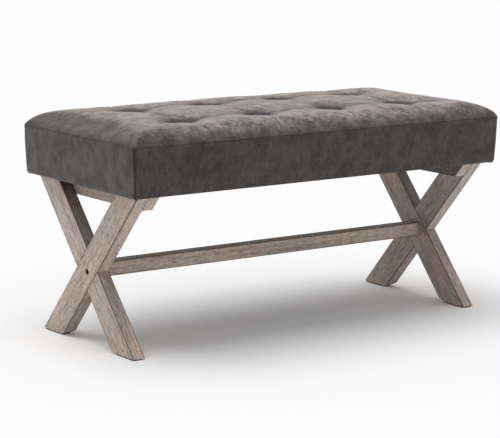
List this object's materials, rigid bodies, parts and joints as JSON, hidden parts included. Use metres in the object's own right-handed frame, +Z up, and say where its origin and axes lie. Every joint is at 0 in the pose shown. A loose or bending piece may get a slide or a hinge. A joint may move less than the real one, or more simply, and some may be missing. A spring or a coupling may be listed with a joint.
{
  "type": "upholstered bench",
  "caption": "Long boxed bench seat with a crowned, tufted faux leather top on crossed-leg wooden end frames joined by a stretcher.",
  "frame": {"origin": "on the floor, under the middle of the bench", "axes": "+X along the seat to the right end, -Y to the front, +Z up"},
  "size_m": [0.9104, 0.4104, 0.446],
  "materials": {
    "upholstery": "distressed faux leather, matt with scuffed lighter patches",
    "button_cloth": "faux leather stretched over a button",
    "washed_oak": "washed grey-brown oak, open grain, dark worn edges",
    "pine": "planed, unfinished",
    "plywood": "unfinished plywood",
    "beech": "plain dowel",
    "foam": "polyurethane foam",
    "wadding": "polyester wadding",
    "dust_cloth": "non-woven cloth",
    "twine": "waxed twine",
    "felt": "dense felt",
    "anchor_plastic": "moulded",
    "zinc_steel": "zinc plated",
    "black_steel": "black oxide"
  },
  "bodies": {
    "root": {"barrel_nuts": "zinc_steel", "batting": "wadding", "corner_block_back_left": "pine", "corner_block_back_right": "pine", "corner_block_front_left": "pine", "corner_block_front_right": "pine", "cover_back_boxing": "upholstery", "cover_front_boxing": "upholstery", "cover_left_boxing": "upholstery", "cover_right_boxing": "upholstery", "cover_staples": "zinc_steel", "cover_top_panel": "upholstery", "deck_screws": "zinc_steel", "dust_cover": "dust_cloth", "dust_cover_staples": "zinc_steel", "foam_pad": "foam", "foot_pad_back_left": "felt", "foot_pad_back_right": "felt", "foot_pad_front_left": "felt", "foot_pad_front_right": "felt", "frame_screws": "zinc_steel", "left_back_foot_leg": "washed_oak", "left_front_foot_leg": "washed_oak", "left_mounting_rail": "pine", "left_top_rail": "washed_oak", "leg_screws": "zinc_steel", "right_back_foot_leg": "washed_oak", "right_front_foot_leg": "washed_oak", "right_mounting_rail": "pine", "right_top_rail": "washed_oak", "seat_deck": "plywood", "seat_frame_back_rail": "pine", "seat_frame_centre_rail": "pine", "seat_frame_front_rail": "pine", "seat_frame_left_rail": "pine", "seat_frame_right_rail": "pine", "stretcher": "washed_oak", "stretcher_bolts": "black_steel", "stretcher_dowels": "beech", "stretcher_washers": "black_steel", "threaded_inserts": "zinc_steel", "top_rail_bolts": "black_steel", "top_rail_washers": "black_steel", "tuft_anchors": "anchor_plastic", "tuft_button_1": "button_cloth", "tuft_button_2": "button_cloth", "tuft_button_3": "button_cloth", "tuft_button_4": "button_cloth", "tuft_button_5": "button_cloth", "tuft_button_6": "button_cloth", "tuft_button_7": "button_cloth", "tuft_button_8": "button_cloth", "tuft_twines": "twine"}
  },
  "joints": []
}
